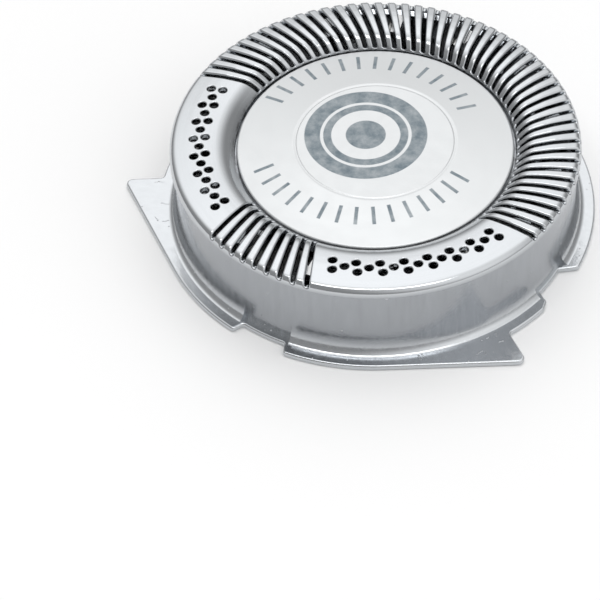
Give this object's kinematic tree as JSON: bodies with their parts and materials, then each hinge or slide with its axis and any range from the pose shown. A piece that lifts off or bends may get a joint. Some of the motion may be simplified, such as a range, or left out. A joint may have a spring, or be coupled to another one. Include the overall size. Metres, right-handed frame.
{
  "type": "rotary shaver head",
  "caption": "Round slotted and perforated shaver guard with a keyed flange and cover disc, and the bladed cutter that spins inside it.",
  "frame": {"origin": "on the spin axis at the underside of the flange, which is the face the head rests on", "axes": "+Z along the spin axis towards the shaving face; -Y towards the gap between the two locating wings; +X to the right of that gap"},
  "size_m": [0.0258, 0.0243, 0.0054],
  "materials": {
    "guard_steel": "bright drawn stainless steel",
    "disc_aluminium": "satin anodised",
    "pin_steel": "turned",
    "hub_plastic": "moulded acetal",
    "cutter_steel": "ground",
    "spring_steel": "rolled strip"
  },
  "bodies": {
    "guard": {"guard_cap": "guard_steel", "cover_disc": "disc_aluminium", "centre_pin": "pin_steel"},
    "cutter": {"drive_hub": "hub_plastic", "cutter_ring": "cutter_steel", "lifter_ring": "spring_steel", "retaining_ring": "spring_steel"}
  },
  "joints": [
    {"name": "cutter_spin", "type": "hinge", "parent": "guard", "child": "cutter", "pos_m": [0, 0, 0.0024], "axis": [0, 0, 1], "continuous": true}
  ]
}
